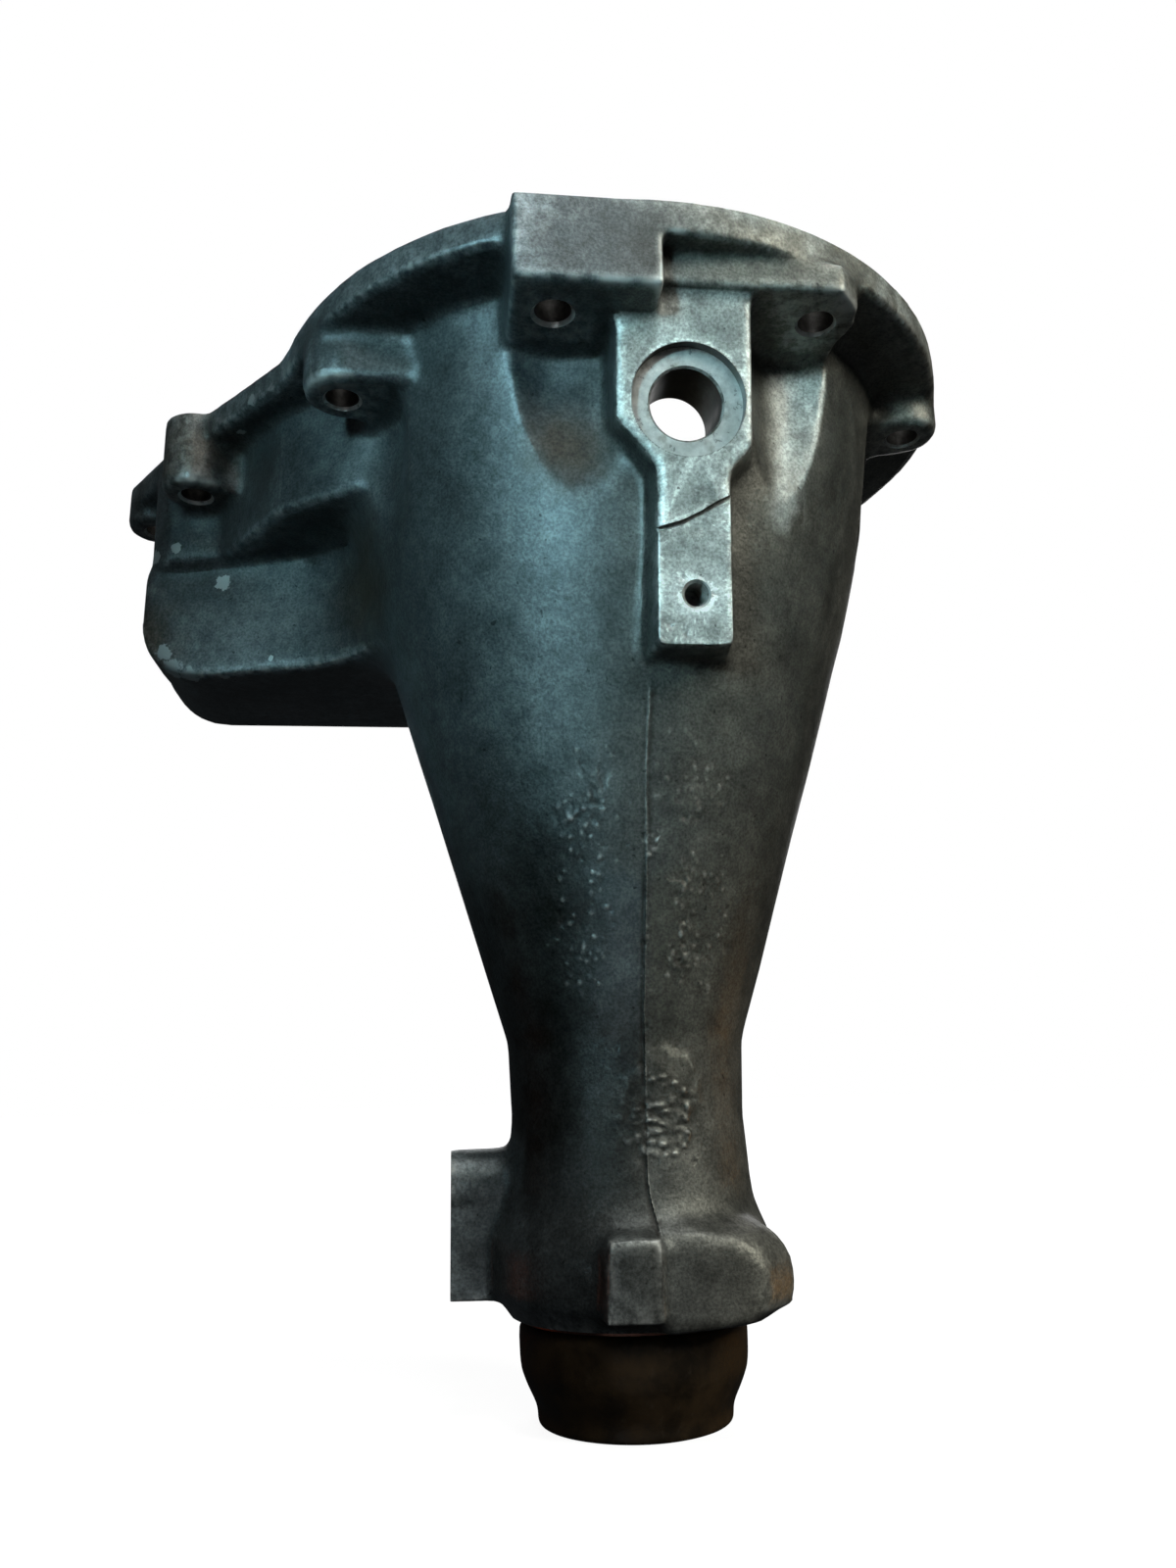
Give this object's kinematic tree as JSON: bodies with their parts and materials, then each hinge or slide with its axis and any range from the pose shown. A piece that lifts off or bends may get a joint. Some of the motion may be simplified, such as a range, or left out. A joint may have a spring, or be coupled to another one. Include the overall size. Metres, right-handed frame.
{
  "type": "transmission tail housing",
  "caption": "Cast tail housing that closes the rear of a gearbox: flanged cone with a side pocket, sensor boss, rear mount boss, yoke bush, oil seal and dust boot.",
  "frame": {"origin": "centre of the register bore in the plane of the case face", "axes": "+Z along the shaft axis into the gearbox case, -Z to the propeller shaft, -Y the side with the sensor bore, -X the side of the pocket"},
  "size_m": [0.317, 0.245, 0.35],
  "materials": {
    "tail_housing": "as cast, oily and dirty, with machined faces",
    "yoke_bush": "bored bronze",
    "seal_case": "pressed steel, dull",
    "seal_lip": "moulded",
    "lip_spring": "oiled spring wire",
    "dust_boot": "moulded, oily"
  },
  "bodies": {
    "root": {"tail_housing": "tail_housing", "yoke_bush": "yoke_bush", "seal_case": "seal_case", "seal_lip": "seal_lip", "lip_spring": "lip_spring", "dust_boot": "dust_boot"}
  },
  "joints": []
}
